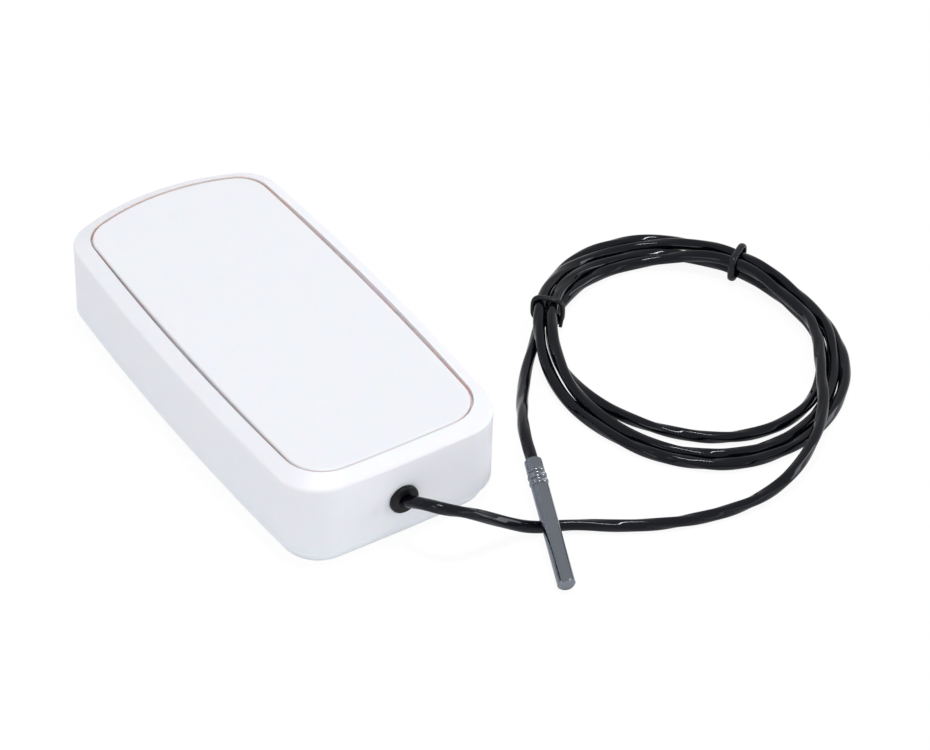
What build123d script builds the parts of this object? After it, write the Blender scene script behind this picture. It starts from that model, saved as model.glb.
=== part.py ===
# Wireless temperature sensor: a bowed white housing with an inset panel, and a steel probe on a coiled lead.
# Millimetres, +Z up. The origin is the middle of the housing's underside, and the lead leaves the end at -Y.
import os
from math import atan2, cos, degrees, pi, radians, sin, tan

from build123d import *

os.makedirs("parts", exist_ok=True)

# Housing outline: four bulging sides, the back end rounder than the cable end
housing_length = 128.0
housing_width = 64.0
housing_height = 27.0
side_bow = 2.2
back_bow = 7.6
front_bow = 0.7
back_corner = 10.7
front_corner = 12.0

# Housing shell
wall = 2.4
deck = 2.0
bevel_width = 4.0
bevel_drop = 1.9
crease_round = 0.9
seam_height = 4.3

# Inset top panel and the tape that holds it
panel_thickness = 1.8
panel_gap = 0.4
panel_side_relief = 0.7
panel_edge_round = 0.7
pocket_corner_growth = 3.0
tape_thickness = 0.25
tape_margin = 2.0

# Base plate
base_floor = 2.4
foot_inset = 2.4
foot_round = 0.5
ledge_inset = 0.35
tongue_wall = 1.6
tongue_height = 2.5
tongue_clearance = 0.3

# Gasket
rebate_width = 1.2
rebate_height = 1.2
gasket_clearance = 0.1

# Housing screws, driven up from below
screw_diameter = 2.9
screw_length = 11.0
screw_head_diameter = 5.6
screw_head_height = 2.0
screw_clearance = 0.05
head_clearance = 0.3
head_recess = 2.6
pillar_diameter = 7.6
pillar_foot = 5.2
pillar_inset = 10.2
pillar_front = 12.0
pillar_back = 18.0
rib_thickness = 1.6
drive_slot = 0.9

# Cable entry and grommet
exit_side = -1.5
exit_height = 13.6
grommet_flange_diameter = 8.0
grommet_flange = 1.2
grommet_neck_diameter = 5.6
grommet_inner_diameter = 7.8
grommet_inner_flange = 1.4
grommet_mouth = 0.5
grommet_bore_round = 0.5
grommet_fit = 0.05

# Cord
cord_diameter = 3.2
cord_clearance = 0.1
cord_inside = 12.0

# Circuit board and its screws
board_thickness = 1.6
board_side_gap = 1.4
board_front = 18.0
board_back = 24.0
board_corner = 2.5
board_hole = 2.7
board_inset = 4.5
front_zone = 22.0
back_zone = 8.0
post_diameter = 6.0
post_height = 2.4
board_screw_diameter = 2.4
board_screw_length = 5.2
board_screw_head_diameter = 4.4
board_screw_head_height = 1.5

# Battery cells and holder, which fill the space under the board between its front and back zones
cell_floor_gap = 0.6
cell_nub_diameter = 5.5
cell_nub_length = 1.3
cell_gap = 1.4
cell_clearance = 0.25
cell_edge_round = 0.6
holder_floor = 1.2
holder_wall = 1.5
holder_floor_gap = 2.85
contact_margin = 1.25
contact_thickness = 0.5
leaf_bulge = 2.0
leaf_margin = 1.9

# Parts on the underside of the board
radio_size = (13.0, 13.0, 0.8)
radio_side = 11.5
radio_from_front = 14.0
shield_size = (11.0, 9.5, 2.2)
shield_wall = 0.25
antenna_wire = 0.8
antenna_diameter = 5.0
antenna_pitch = 2.2
antenna_turns = 7
antenna_side = 9.0
antenna_from_back = 1.5
chip_size = (5.6, 5.6, 1.0)
chip_side = -12.4
chips_from_front = (10.4, 17.4)
capacitor_diameter = 7.0
capacitor_height = 11.0
capacitor_side = -8.2
capacitor_groove = 0.4
capacitor_groove_start = 1.2
capacitor_groove_width = 0.8
switch_size = (6.0, 6.0, 3.4)
switch_stem_diameter = 3.2
switch_stem_height = 1.6
switch_side = 0.0
led_diameter = 3.0
led_height = 4.2
led_side = 5.6

# Terminal block and the wires to it
pole_pitch = 5.08
terminal_depth = 8.0
terminal_height = 9.6
terminal_from_front = 12.0
terminal_entry = 3.0
terminal_screw_diameter = 3.4
terminal_screw_height = 1.6
terminal_screw_sink = 0.6
wire_diameter = 1.1
wire_spread = 1.4

# Pull stop: a plastic tie locked on the cord inside the housing
stop_width = 2.6
stop_thickness = 1.1
stop_head = (3.4, 4.4)

# Probe
probe_diameter = 4.6
probe_length = 39.6
probe_wall = 0.28
probe_end_wall = 0.6
probe_end_chamfer = 0.45
probe_collar = 3.4
crimp_count = 3
crimp_width = 1.1
crimp_depth = 0.3
crimp_ridge = 0.9
crimp_bulge = 0.2
probe_tip = (22.3, -101.5)
probe_heading = 68.5
probe_cord_crossing = 20.6
probe_insert = 9.5
bead_diameter = 1.9
bead_place = 3.4
probe_wire_diameter = 0.6
probe_wire_spread = 1.1
potting_clearance = 0.05

# Coil of the lead: the innermost strand's path and how far out the bundle reaches at each angle
coil_centre = (102.4, -42.0)
coil_radius = 36.3
coil_stretch = 2.4
coil_stretch_angle = 80.0
coil_spread = {
    0: 6.0,
    33: 4.6,
    72: 9.8,
    103: 8.0,
    131: 4.6,
    163: 5.6,
    205: 7.9,
    247: 10.4,
    290: 7.6,
    325: 6.4,
}
coil_margin = 0.3
coil_edge_round = 1.8
coil_layers = 2
layer_rise = 2.75

# Ties around the coil
tie_angles = {"tie_left": 131.0, "tie_right": 33.0}
tie_width = 1.9
tie_thickness = 1.3
tie_clearance = 0.15
tie_corner = 2.6

# Levels and places that follow from the sizes above
crease_height = housing_height - bevel_drop
panel_bottom = housing_height - panel_thickness
pocket_floor = panel_bottom - tape_thickness
ceiling = pocket_floor - deck
tongue_inset = wall + tongue_clearance
board_top = ceiling - post_height
board_bottom = board_top - board_thickness
half_length = housing_length / 2
half_width = housing_width / 2
pillar_side = half_width - pillar_inset
screw_points = [
    (side * pillar_side, place)
    for side in (-1, 1)
    for place in (-half_length + pillar_front, half_length - pillar_back)
]
board_start = -half_length + board_front
board_end = half_length - board_back
board_length = board_end - board_start
board_middle = (board_start + board_end) / 2
board_width = housing_width - 2 * (side_bow + wall + board_side_gap)
board_points = [
    (side * (board_width / 2 - board_inset), place)
    for side in (-1, 1)
    for place in (board_start + board_inset, board_end - board_inset)
]
holder_length = board_length - front_zone - back_zone
holder_middle = board_start + front_zone + holder_length / 2
trough_length = holder_length - 2 * holder_wall
cell_diameter = board_bottom - base_floor - cell_floor_gap - holder_floor - cell_clearance
cell_length = trough_length - leaf_bulge - contact_thickness
cell_body_length = cell_length - cell_nub_length
contact_width = cell_nub_diameter + 2 * contact_margin
back_zone_middle = board_end - back_zone / 2
radio_place = (radio_side, board_start + radio_from_front)
chip_places = [(chip_side, board_start + distance) for distance in chips_from_front]
antenna_place = (antenna_side, board_end - antenna_from_back)
capacitor_place = (capacitor_side, back_zone_middle)
switch_place = (switch_side, back_zone_middle)
led_place = (led_side, back_zone_middle)
terminal_middle = board_start + terminal_from_front
grommet_face = half_length + grommet_fit + grommet_flange
exit_point = (exit_side, -grommet_face, exit_height)
cord_radius = cord_diameter / 2
cord_inner_end = -half_length + cord_inside
layer_height = layer_rise * (coil_layers - 1) + cord_diameter
coil_height = tie_thickness + tie_clearance + layer_height


# Radius of an arc, from half its chord and how far it bows out.
def arc_radius(half_chord, bow):
    return (half_chord**2 + bow**2) / (2 * bow)


# A closed outline with bulging sides at a level, drawn in by an inset. The relief flattens its long sides,
# and the growth makes its corners rounder than the inset alone does.
def bowed_outline(level, inset, relief=0.0, growth=0.0):
    side_middle = (front_bow - back_bow) / 2
    side_radius = arc_radius(half_length - (back_bow + front_bow) / 2, side_bow - relief)
    back_radius = arc_radius(half_width - side_bow, back_bow)
    front_radius = arc_radius(half_width - side_bow, front_bow)
    with BuildSketch(Plane.XY.offset(level)) as outline:
        with Locations((0, half_length - back_radius)):
            Circle(back_radius - inset)
        with Locations((0, -half_length)):
            Rectangle(2 * housing_width, housing_length)
        with Locations((0, front_radius - half_length)):
            Circle(front_radius - inset, mode=Mode.INTERSECT)
        for side in (-1, 1):
            with Locations((side * (half_width - relief - side_radius), side_middle)):
                Circle(side_radius - inset, mode=Mode.INTERSECT)
        fillet(outline.vertices().group_by(Axis.Y)[-1], back_corner - inset + growth)
        fillet(outline.vertices().group_by(Axis.Y)[0], front_corner - inset + growth)
    return outline.sketch


# The outline of the pocket in the rim, or of something that lies in it with a gap all round.
def pocket_outline(level, gap=0.0, relief=0.0):
    return bowed_outline(level, bevel_width + gap, relief, pocket_corner_growth)


# A piece gets its name and is written to its own file.
def save(piece, name):
    piece.part.label = name
    export_step(piece.part, f"parts/{name}.step")


# Housing shell, open below: walls, bevelled rim, pocket for the panel, pillars, ribs and board posts
with BuildPart() as housing_shell:
    extrude(bowed_outline(seam_height, 0), amount=crease_height - seam_height)
    loft([bowed_outline(crease_height, 0), pocket_outline(housing_height)], ruled=True)
    crease = housing_shell.edges().filter_by_position(Axis.Z, crease_height - 0.01, crease_height + 0.01)
    fillet(crease, crease_round)
    extrude(pocket_outline(pocket_floor), amount=housing_height - pocket_floor, mode=Mode.SUBTRACT)
    extrude(bowed_outline(seam_height, wall), amount=ceiling - seam_height, mode=Mode.SUBTRACT)
    extrude(bowed_outline(seam_height, rebate_width), amount=rebate_height, mode=Mode.SUBTRACT)
    with BuildSketch(Plane.XY.offset(pillar_foot)):
        with Locations(*screw_points):
            Circle(pillar_diameter / 2)
    extrude(amount=ceiling - pillar_foot + deck / 2)
    rib_foot = seam_height + tongue_height + tongue_clearance
    rib_length = half_width - side_bow - wall - pillar_side
    with BuildSketch(Plane.XY.offset(rib_foot)):
        for side, place in screw_points:
            reach = rib_length if side > 0 else -rib_length
            with Locations((side + reach / 2, place)):
                Rectangle(rib_length + 2 * wall, rib_thickness)
    extrude(amount=ceiling - rib_foot + deck / 2)
    with BuildSketch(Plane.XY.offset(board_top)):
        with Locations(*board_points):
            Circle(post_diameter / 2)
    extrude(amount=post_height + deck / 2)
    with BuildSketch(Plane.XY.offset(pillar_foot)):
        with Locations(*screw_points):
            Circle(screw_diameter / 2 + screw_clearance)
    extrude(amount=screw_length, mode=Mode.SUBTRACT)
    with BuildSketch(Plane.XY.offset(board_top)):
        with Locations(*board_points):
            Circle(board_screw_diameter / 2 + screw_clearance)
    extrude(amount=board_screw_length - board_thickness, mode=Mode.SUBTRACT)
    with BuildSketch(Plane(origin=(exit_side, -half_length, exit_height), z_dir=(0, 1, 0))):
        Circle(grommet_neck_diameter / 2 + grommet_fit)
    extrude(amount=2 * wall, both=True, mode=Mode.SUBTRACT)
save(housing_shell, "housing_shell")

# Top panel: a plate with a softly rounded upper edge, its long sides a little straighter than the pocket's
with BuildPart() as top_panel:
    extrude(pocket_outline(panel_bottom, panel_gap, panel_side_relief), amount=panel_thickness)
    fillet(top_panel.faces().sort_by(Axis.Z)[-1].edges(), panel_edge_round)
save(top_panel, "top_panel")

# Tape between the panel and the pocket's floor
with BuildPart() as panel_tape:
    extrude(pocket_outline(pocket_floor, panel_gap + tape_margin), amount=tape_thickness)
save(panel_tape, "panel_tape")

# Base plate: a sloping foot band, a floor, a tongue inside the shell's walls and four screw bosses
with BuildPart() as base_plate:
    loft([bowed_outline(0, foot_inset), bowed_outline(seam_height, ledge_inset)], ruled=True)
    fillet(base_plate.faces().sort_by(Axis.Z)[0].edges(), foot_round)
    extrude(bowed_outline(base_floor, tongue_inset), amount=seam_height + tongue_height - base_floor)
    tongue_hollow = bowed_outline(base_floor, tongue_inset + tongue_wall)
    extrude(tongue_hollow, amount=seam_height + tongue_height, mode=Mode.SUBTRACT)
    with BuildSketch(Plane.XY.offset(base_floor / 2)):
        with Locations(*screw_points):
            Circle(pillar_diameter / 2)
    extrude(amount=pillar_foot - base_floor / 2)
    with Locations(*[Plane(origin=(x, y, 0), z_dir=(0, 0, -1)) for x, y in screw_points]):
        CounterBoreHole(
            screw_diameter / 2 + 2 * screw_clearance,
            screw_head_diameter / 2 + head_clearance,
            head_recess,
        )
save(base_plate, "base_plate")

# Gasket in the shell's rebate, standing on the base plate's ledge
with BuildPart() as sealing_gasket:
    outer_edge = bowed_outline(seam_height, rebate_width + gasket_clearance)
    extrude(outer_edge, amount=rebate_height - gasket_clearance)
    inner_edge = bowed_outline(seam_height, tongue_inset - gasket_clearance)
    extrude(inner_edge, amount=rebate_height, mode=Mode.SUBTRACT)
save(sealing_gasket, "sealing_gasket")


# A pan-head screw at the origin of a plane: its head stands below the plane and its shank above.
def pan_head_screw(place, head_diameter, head_height, shank_diameter, shank_length):
    with BuildSketch(place) as head:
        Circle(head_diameter / 2)
    extrude(head.sketch, amount=-head_height)
    with BuildSketch(place) as shank:
        Circle(shank_diameter / 2)
    extrude(shank.sketch, amount=shank_length)
    with BuildSketch(place.offset(-head_height)) as cross:
        Rectangle(head_diameter * 0.62, drive_slot)
        Rectangle(drive_slot, head_diameter * 0.62)
    extrude(cross.sketch, amount=head_height / 2, mode=Mode.SUBTRACT)


# Housing screws, heads in the base plate's recesses
with BuildPart() as housing_screws:
    for x, y in screw_points:
        pan_head_screw(
            Plane((x, y, head_recess)), screw_head_diameter, screw_head_height, screw_diameter, screw_length
        )
save(housing_screws, "housing_screws")

# Grommet: two flanges with the shell's wall between them. Its bore widens at the mouth, and its inner end is
# rounded.
exit_plane = Plane(origin=(exit_side, -half_length, exit_height), x_dir=(0, -1, 0), z_dir=(1, 0, 0))
exit_axis = Axis((exit_side, -half_length, exit_height), (0, -1, 0))
with BuildPart() as cable_grommet:
    bore = cord_radius + cord_clearance
    inner_face = -wall - grommet_fit
    with BuildSketch(exit_plane) as grommet_profile:
        with BuildLine():
            Polyline(
                (inner_face - grommet_inner_flange, bore),
                (inner_face - grommet_inner_flange, grommet_inner_diameter / 2),
                (inner_face, grommet_inner_diameter / 2),
                (inner_face, grommet_neck_diameter / 2),
                (grommet_fit, grommet_neck_diameter / 2),
                (grommet_fit, grommet_flange_diameter / 2),
                (grommet_fit + grommet_flange, grommet_flange_diameter / 2),
                (grommet_fit + grommet_flange, bore + grommet_mouth),
                (grommet_fit + grommet_flange - grommet_mouth, bore),
                close=True,
            )
        make_face()
        bore_end = grommet_profile.vertices().group_by(Axis.X)[0].sort_by(Axis.Y)[0]
        fillet(bore_end, grommet_bore_round)
    revolve(axis=exit_axis)
save(cable_grommet, "cable_grommet")

# Circuit board with rounded corners and four screw holes
with BuildPart() as circuit_board:
    with BuildSketch(Plane.XY.offset(board_bottom)):
        with Locations((0, board_middle)):
            RectangleRounded(board_width, board_length, board_corner)
        with Locations(*board_points):
            Circle(board_hole / 2, mode=Mode.SUBTRACT)
    extrude(amount=board_thickness)
save(circuit_board, "circuit_board")

# Board screws, heads under the board
with BuildPart() as board_screws:
    for x, y in board_points:
        pan_head_screw(
            Plane((x, y, board_bottom)),
            board_screw_head_diameter,
            board_screw_head_height,
            board_screw_diameter,
            board_screw_length,
        )
save(board_screws, "board_screws")

# Battery holder: a tray open below, with a round trough for each cell
cell_side = (cell_diameter + cell_gap) / 2
cell_height = board_bottom - holder_floor - cell_clearance - cell_diameter / 2
trough_radius = cell_diameter / 2 + cell_clearance
holder_width = 2 * (cell_side + trough_radius + holder_wall)
holder_bottom = base_floor + holder_floor_gap
trough_start = holder_middle - trough_length / 2
trough_end = holder_middle + trough_length / 2
with BuildPart() as battery_holder:
    with BuildSketch(Plane.XY.offset(holder_bottom)):
        with Locations((0, holder_middle)):
            Rectangle(holder_width, holder_length)
    extrude(amount=board_bottom - holder_bottom)
    with BuildSketch(Plane(origin=(0, trough_start, cell_height), x_dir=(1, 0, 0), z_dir=(0, -1, 0))):
        for side in (-cell_side, cell_side):
            with Locations((side, 0)):
                Circle(trough_radius)
            with Locations((side, -cell_diameter / 2)):
                Rectangle(2 * trough_radius, cell_diameter)
    extrude(amount=-trough_length, mode=Mode.SUBTRACT)
save(battery_holder, "battery_holder")

# Two cells lying in the holder, each turned end for end
for name, side, facing in (("battery_cell_left", -cell_side, 1), ("battery_cell_right", cell_side, -1)):
    negative_end = (trough_start if facing > 0 else trough_end) + facing * leaf_bulge
    cell_origin = (side, negative_end, cell_height)
    with BuildPart() as battery_cell:
        with BuildSketch(Plane(origin=cell_origin, x_dir=(0, facing, 0), z_dir=(-facing, 0, 0))):
            with BuildLine():
                Polyline(
                    (0, 0),
                    (0, cell_diameter / 2 - cell_edge_round),
                    (cell_edge_round, cell_diameter / 2),
                    (cell_body_length - cell_edge_round, cell_diameter / 2),
                    (cell_body_length, cell_diameter / 2 - cell_edge_round),
                    (cell_body_length, cell_nub_diameter / 2),
                    (cell_length, cell_nub_diameter / 2),
                    (cell_length, 0),
                    close=True,
                )
            make_face()
        revolve(axis=Axis(cell_origin, (0, facing, 0)))
    save(battery_cell, name)

# Leaf contacts, bowed from the trough's end wall to the cell's flat end
with BuildPart() as contact_leaves:
    for side, wall_face, facing in ((-cell_side, trough_start, 1), (cell_side, trough_end, -1)):
        reach = trough_radius - leaf_margin
        leaf_origin = (side, wall_face, cell_height)
        with BuildSketch(Plane(origin=leaf_origin, x_dir=(0, facing, 0), z_dir=(-facing, 0, 0))):
            with BuildLine():
                ThreePointArc((0, -reach), (leaf_bulge, 0), (0, reach))
                Line((0, reach), (0, reach - contact_thickness))
                back_reach = reach - contact_thickness
                ThreePointArc((0, back_reach), (leaf_bulge - contact_thickness, 0), (0, -back_reach))
                Line((0, -back_reach), (0, -reach))
            make_face()
        extrude(amount=contact_width / 2, both=True)
save(contact_leaves, "contact_leaves")

# Flat contacts under the cells' nubs
with BuildPart() as contact_plates:
    for side, wall_face, facing in ((-cell_side, trough_end, -1), (cell_side, trough_start, 1)):
        with BuildSketch(Plane(origin=(side, wall_face, cell_height), x_dir=(1, 0, 0), z_dir=(0, facing, 0))):
            RectangleRounded(contact_width, contact_width, 1)
        extrude(amount=contact_thickness)
save(contact_plates, "contact_plates")


# A rectangular block hanging from a level, its middle at a place.
def hanging_block(place, size, top):
    with BuildSketch(Plane.XY.offset(top - size[2])) as block:
        with Locations(place):
            Rectangle(size[0], size[1])
    extrude(block.sketch, amount=size[2])


# Radio module, its metal shield and its spring antenna
with BuildPart() as radio_module:
    hanging_block(radio_place, radio_size, board_bottom)
save(radio_module, "radio_module")

shield_top = board_bottom - radio_size[2]
with BuildPart() as radio_shield:
    hanging_block(radio_place, shield_size, shield_top)
    offset(amount=-shield_wall, openings=radio_shield.faces().sort_by(Axis.Z)[-1])
save(radio_shield, "radio_shield")

antenna_height = board_bottom - antenna_diameter / 2 - antenna_wire
with BuildPart() as spring_antenna:
    with BuildLine() as antenna_path:
        Helix(
            pitch=antenna_pitch,
            height=antenna_pitch * antenna_turns,
            radius=antenna_diameter / 2,
            center=(*antenna_place, antenna_height),
            direction=(0, 1, 0),
        )
    antenna_start = antenna_path.line @ 0
    with BuildSketch(Plane(origin=antenna_start, z_dir=antenna_path.line % 0)):
        Circle(antenna_wire / 2)
    sweep()
    with BuildSketch(Plane.XY.offset(antenna_start.Z)):
        with Locations((antenna_start.X, antenna_start.Y)):
            Circle(antenna_wire / 2)
    extrude(amount=board_bottom - antenna_start.Z)
save(spring_antenna, "spring_antenna")

# Chips, buffer capacitor, set-up switch and status lamp
with BuildPart() as board_chips:
    for place in chip_places:
        hanging_block(place, chip_size, board_bottom)
save(board_chips, "board_chips")

with BuildPart() as buffer_capacitor:
    groove_middle = capacitor_groove_start + capacitor_groove_width / 2
    groove_end = capacitor_groove_start + capacitor_groove_width
    with BuildSketch(Plane(origin=(*capacitor_place, board_bottom), x_dir=(0, 0, -1), z_dir=(0, 1, 0))):
        with BuildLine():
            Polyline(
                (0, 0),
                (0, capacitor_diameter / 2),
                (capacitor_groove_start, capacitor_diameter / 2),
                (groove_middle, capacitor_diameter / 2 - capacitor_groove),
                (groove_end, capacitor_diameter / 2),
                (capacitor_height, capacitor_diameter / 2),
                (capacitor_height, 0),
                close=True,
            )
        make_face()
    revolve(axis=Axis((*capacitor_place, board_bottom), (0, 0, -1)))
save(buffer_capacitor, "buffer_capacitor")

with BuildPart() as setup_switch:
    hanging_block(switch_place, switch_size, board_bottom)
    with BuildSketch(Plane(origin=(*switch_place, board_bottom - switch_size[2]), z_dir=(0, 0, -1))):
        Circle(switch_stem_diameter / 2)
    extrude(amount=switch_stem_height)
save(setup_switch, "setup_switch")

with BuildPart() as status_lamp:
    with BuildSketch(Plane(origin=(*led_place, board_bottom), z_dir=(0, 0, -1))):
        Circle(led_diameter / 2)
    extrude(amount=led_height)
    fillet(status_lamp.edges().group_by(Axis.Z)[0], led_diameter * 0.45)
save(status_lamp, "status_lamp")

# Terminal block: two poles with wire holes at the front and screw wells below
pole_places = (exit_side - pole_pitch / 2, exit_side + pole_pitch / 2)
terminal_front = terminal_middle - terminal_depth / 2
entry_height = board_bottom - terminal_height + terminal_entry
well_depth = terminal_screw_height + terminal_screw_sink
with BuildPart() as terminal_block:
    terminal_size = (2 * pole_pitch, terminal_depth, terminal_height)
    hanging_block((exit_side, terminal_middle), terminal_size, board_bottom)
    with BuildSketch(Plane(origin=(0, terminal_front, entry_height), x_dir=(1, 0, 0), z_dir=(0, -1, 0))):
        with Locations((pole_places[0], 0), (pole_places[1], 0)):
            Circle(wire_diameter / 2 + cord_clearance)
    extrude(amount=-terminal_depth / 2, mode=Mode.SUBTRACT)
    with BuildSketch(Plane.XY.offset(board_bottom - terminal_height)):
        with Locations((pole_places[0], terminal_middle), (pole_places[1], terminal_middle)):
            Circle(terminal_screw_diameter / 2 + cord_clearance)
    extrude(amount=well_depth, mode=Mode.SUBTRACT)
save(terminal_block, "terminal_block")

with BuildPart() as terminal_screws:
    head_place = Plane.XY.offset(board_bottom - terminal_height + terminal_screw_sink)
    with BuildSketch(head_place):
        with Locations((pole_places[0], terminal_middle), (pole_places[1], terminal_middle)):
            Circle(terminal_screw_diameter / 2)
    extrude(amount=terminal_screw_height)
    with BuildSketch(head_place):
        with Locations((pole_places[0], terminal_middle), (pole_places[1], terminal_middle)):
            Rectangle(terminal_screw_diameter, drive_slot)
    extrude(amount=terminal_screw_height / 2, mode=Mode.SUBTRACT)
save(terminal_screws, "terminal_screws")

# Cord inside the housing, from the grommet's face to where its wires fan out
with BuildPart() as cord_inner:
    with BuildSketch(Plane(origin=exit_point, z_dir=(0, 1, 0))):
        Circle(cord_radius)
    extrude(amount=cord_inner_end - exit_point[1])
save(cord_inner, "cord_inner")

# Two wires, each from the cord's end to its pole
with BuildPart() as terminal_wires:
    for side, pole in ((-1, pole_places[0]), (1, pole_places[1])):
        start = (exit_side + side * wire_spread / 2, cord_inner_end, exit_height)
        bend_start = (start[0], cord_inner_end + 3 * wire_diameter, exit_height)
        bend_end = (pole, terminal_front - 3 * wire_diameter, entry_height)
        end = (pole, terminal_front + terminal_depth / 4, entry_height)
        with BuildLine() as wire_path:
            FilletPolyline(start, bend_start, bend_end, end, radius=2 * wire_diameter)
        with BuildSketch(Plane(origin=start, z_dir=(0, 1, 0))):
            Circle(wire_diameter / 2)
        sweep(path=wire_path.wire())
save(terminal_wires, "terminal_wires")

# Pull stop against the grommet's inner flange: a band round the cord with its lock beside it
stop_start = -half_length + wall + grommet_fit + grommet_inner_flange
with BuildPart() as pull_stop:
    with BuildSketch(Plane(origin=(exit_side, stop_start, exit_height), x_dir=(1, 0, 0), z_dir=(0, -1, 0))):
        Circle(cord_radius + cord_clearance + stop_thickness)
        with Locations((cord_radius + stop_thickness + stop_head[0] / 2, 0)):
            Rectangle(stop_head[0], stop_head[1])
        Circle(cord_radius + cord_clearance, mode=Mode.SUBTRACT)
    extrude(amount=-stop_width)
save(pull_stop, "pull_stop")

# Probe frame: the closed end rests on the surface, and the shaft rests on the lead that passes under it
probe_radius = probe_diameter / 2
cord_top = cord_diameter + cord_clearance
probe_tilt = degrees(atan2(cord_top, probe_cord_crossing))
heading = Vector(cos(radians(probe_heading)), sin(radians(probe_heading)), 0)
probe_axis = heading * cos(radians(probe_tilt)) + Vector(0, 0, sin(radians(probe_tilt)))
probe_side = Vector(-heading.Y, heading.X, 0)
probe_origin = Vector(*probe_tip, probe_radius / cos(radians(probe_tilt)))
probe_plane = Plane(origin=probe_origin, x_dir=probe_axis, z_dir=probe_side)
probe_centreline = Axis(probe_origin, probe_axis)


# A point on the probe's centreline, measured from its closed end.
def on_probe(distance):
    return probe_origin + probe_axis * distance


# The probe's wall along its length: three rolled crimps with ridges between them, then a plain collar.
def crimped_line(radius, bulge):
    place = probe_length - probe_collar - crimp_count * crimp_width - (crimp_count - 1) * crimp_ridge
    for number in range(crimp_count):
        groove_end = place + crimp_width
        ThreePointArc((place, radius), (place + crimp_width / 2, radius - crimp_depth), (groove_end, radius))
        place = groove_end
        if number < crimp_count - 1:
            ridge_end = place + crimp_ridge
            ThreePointArc((place, radius), (place + crimp_ridge / 2, radius + bulge), (ridge_end, radius))
            place = ridge_end


# Probe sheath: a drawn steel tube, closed and chamfered at its tip and open where the cord goes in
bore_radius = probe_radius - probe_wall
crimp_start = probe_length - probe_collar - crimp_count * crimp_width - (crimp_count - 1) * crimp_ridge
collar_start = probe_length - probe_collar
with BuildPart() as probe_sheath:
    with BuildSketch(probe_plane):
        with BuildLine():
            Polyline(
                (0, 0),
                (0, probe_radius - probe_end_chamfer),
                (probe_end_chamfer, probe_radius),
                (crimp_start, probe_radius),
            )
            crimped_line(probe_radius, crimp_bulge)
            Polyline(
                (collar_start, probe_radius),
                (probe_length, probe_radius),
                (probe_length, bore_radius),
                (collar_start, bore_radius),
            )
            crimped_line(bore_radius, crimp_bulge)
            Polyline((crimp_start, bore_radius), (probe_end_wall, bore_radius), (probe_end_wall, 0), (0, 0))
        make_face()
    revolve(axis=probe_centreline)
save(probe_sheath, "probe_sheath")

# Sensing bead near the tip and its two wires
cord_end = probe_length - probe_insert
with BuildPart() as sensing_bead:
    with Locations(Plane(origin=on_probe(bead_place), z_dir=probe_axis)):
        Sphere(bead_diameter / 2)
save(sensing_bead, "sensing_bead")

wire_plane = Plane(origin=on_probe(bead_place), x_dir=probe_side, z_dir=probe_axis)
wire_places = ((0, -probe_wire_spread / 2), (0, probe_wire_spread / 2))
with BuildPart() as probe_wires:
    with BuildSketch(wire_plane):
        with Locations(*wire_places):
            Circle(probe_wire_diameter / 2)
    extrude(amount=cord_end - bead_place)
    add(sensing_bead.part, mode=Mode.SUBTRACT)
save(probe_wires, "probe_wires")

# Potting resin that fills the sheath round the bead and the wires
with BuildPart() as probe_potting:
    with BuildSketch(Plane(origin=on_probe(probe_end_wall), z_dir=probe_axis)):
        Circle(bore_radius - potting_clearance)
    extrude(amount=bead_place - probe_end_wall)
    with BuildSketch(wire_plane):
        Circle(bore_radius - potting_clearance)
        with Locations(*wire_places):
            Circle(probe_wire_diameter / 2 + potting_clearance, mode=Mode.SUBTRACT)
    extrude(amount=cord_end - bead_place)
    with Locations(wire_plane):
        Sphere(bead_diameter / 2 + potting_clearance, mode=Mode.SUBTRACT)
save(probe_potting, "probe_potting")


# Radius of the coil's innermost strand at an angle about the coil's centre.
def strand_radius(angle):
    return coil_radius + coil_stretch * cos(radians(2 * (angle - coil_stretch_angle)))


# A point of the coil's plan, a distance out from its innermost strand.
def coil_point(angle, out):
    reach = strand_radius(angle) + out
    return (coil_centre[0] + reach * cos(radians(angle)), coil_centre[1] + reach * sin(radians(angle)))


# How far out the bundle's outermost strand lies at an angle, taken between the two nearest stations.
def bundle_spread(angle):
    stations = sorted(coil_spread)
    before = max(station for station in stations if station <= angle)
    after = min(station for station in stations if station >= angle)
    if before == after:
        return coil_spread[angle]
    share = (angle - before) / (after - before)
    return coil_spread[before] * (1 - share) + coil_spread[after] * share


# Frame of a tie: across the bundle, upright, looking along it
def tie_frame(angle):
    outward = Vector(cos(radians(angle)), sin(radians(angle)), 0)
    along = Vector(-outward.Y, outward.X, 0)
    spread = bundle_spread(angle)
    middle = coil_point(angle, spread / 2)
    width = spread + cord_diameter + 2 * coil_margin
    return Plane(origin=(*middle, 0), x_dir=outward, z_dir=-along), width


# Cord coil: one closed ring of the bundle's outer shape, waisted where the ties hold it
with BuildPart() as cord_coil:
    with BuildSketch():
        with BuildLine():
            Spline(
                [coil_point(angle, out + cord_radius + coil_margin) for angle, out in coil_spread.items()],
                periodic=True,
            )
        make_face()
        with BuildLine():
            Spline([coil_point(angle, -cord_radius - coil_margin) for angle in coil_spread], periodic=True)
        make_face(mode=Mode.SUBTRACT)
    extrude(amount=coil_height)
    fillet(cord_coil.faces().sort_by(Axis.Z)[-1].edges(), coil_edge_round)
    for angle in tie_angles.values():
        place, width = tie_frame(angle)
        slot_width = tie_width + 2 * tie_clearance
        with BuildSketch(place):
            with Locations((0, coil_height / 2)):
                Rectangle(4 * width, 4 * coil_height)
            with Locations((0, tie_thickness + tie_clearance + layer_height / 2)):
                RectangleRounded(width, layer_height, tie_corner, mode=Mode.SUBTRACT)
        extrude(amount=slot_width / 2, both=True, mode=Mode.SUBTRACT)
save(cord_coil, "cord_coil")

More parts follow.
